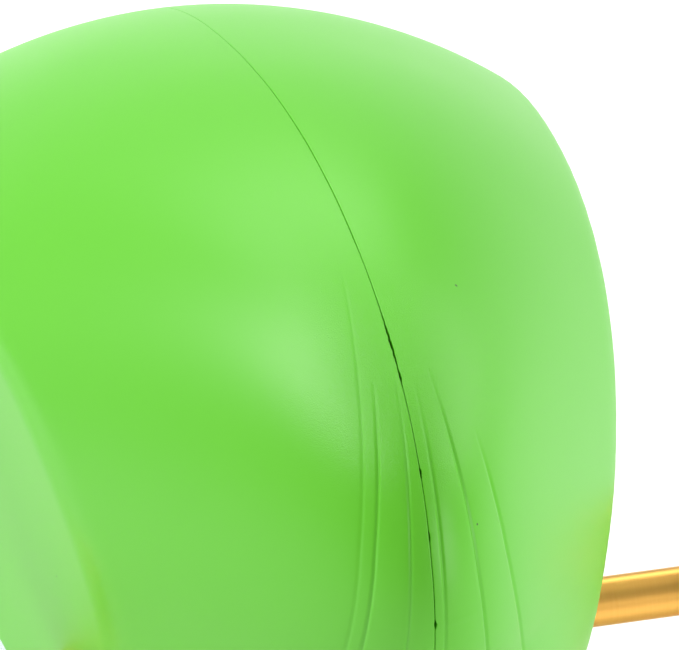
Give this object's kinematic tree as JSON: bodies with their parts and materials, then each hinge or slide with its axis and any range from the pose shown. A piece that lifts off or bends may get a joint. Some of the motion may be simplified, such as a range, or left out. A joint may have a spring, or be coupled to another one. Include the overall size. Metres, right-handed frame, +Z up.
{
  "type": "drinking bird",
  "caption": "Moulded bird with a gold neck and beak that swings on an axle between two legs and dips into a cup on its base.",
  "frame": {"origin": "on the table, under the middle of the base", "axes": "the bird faces -Y, the axle runs along X, +Z is up"},
  "size_m": [0.0738, 0.1244, 0.0981],
  "materials": {
    "green_plastic": "satin moulded",
    "gold_metal": "gold anodised, satin",
    "base_plastic": "fine moulded texture",
    "nylon": "natural moulded",
    "cup_clear": "clear moulded",
    "rubber": "matt",
    "contact_steel": "nickel plated",
    "cell_steel": "plated",
    "ballast_iron": "turned",
    "board": "solder resist",
    "winding": "enamelled copper wire",
    "eye_black": "polished"
  },
  "bodies": {
    "stand": {"base_cover": "base_plastic", "base_floor": "base_plastic", "battery_cells": "cell_steel", "battery_contacts": "contact_steel", "circuit_board": "board", "coil_bobbin": "nylon", "coil_winding": "winding", "switch_case": "base_plastic", "base_screws": "contact_steel", "rubber_feet": "rubber", "leg_left": "gold_metal", "leg_right": "gold_metal", "leg_screws": "contact_steel", "bush_left": "nylon", "bush_right": "nylon"},
    "bird": {"axle": "gold_metal", "axle_cap_left": "gold_metal", "axle_cap_right": "gold_metal", "body_shell_left": "green_plastic", "body_shell_right": "green_plastic", "inner_frame": "nylon", "ballast_left": "ballast_iron", "ballast_right": "ballast_iron", "ballast_bolt": "contact_steel", "drive_magnet": "cell_steel", "neck_tube": "gold_metal", "neck_collar_rear": "gold_metal", "neck_collar_front": "gold_metal", "head_core": "nylon", "head_shell_left": "green_plastic", "head_shell_right": "green_plastic", "beak": "gold_metal", "eye_left": "eye_black", "eye_right": "eye_black"},
    "cup": {"cup": "cup_clear"},
    "battery_door": {"battery_door": "base_plastic"},
    "switch_slider": {"switch_slider": "nylon"}
  },
  "joints": [
    {"name": "bird_swing", "type": "hinge", "parent": "stand", "child": "bird", "pos_m": [0, 0.024, 0.06], "axis": [1, 0, 0], "range_deg": [-75, 0]},
    {"name": "cup_lift", "type": "slide", "parent": "stand", "child": "cup", "axis": [0, 0, 1], "range_m": [0, 0.003]},
    {"name": "door_slide", "type": "slide", "parent": "stand", "child": "battery_door", "axis": [0, 1, 0], "range_m": [0, 0.004]},
    {"name": "switch_slide", "type": "slide", "parent": "stand", "child": "switch_slider", "axis": [1, 0, 0], "range_m": [0, 0.003]}
  ]
}
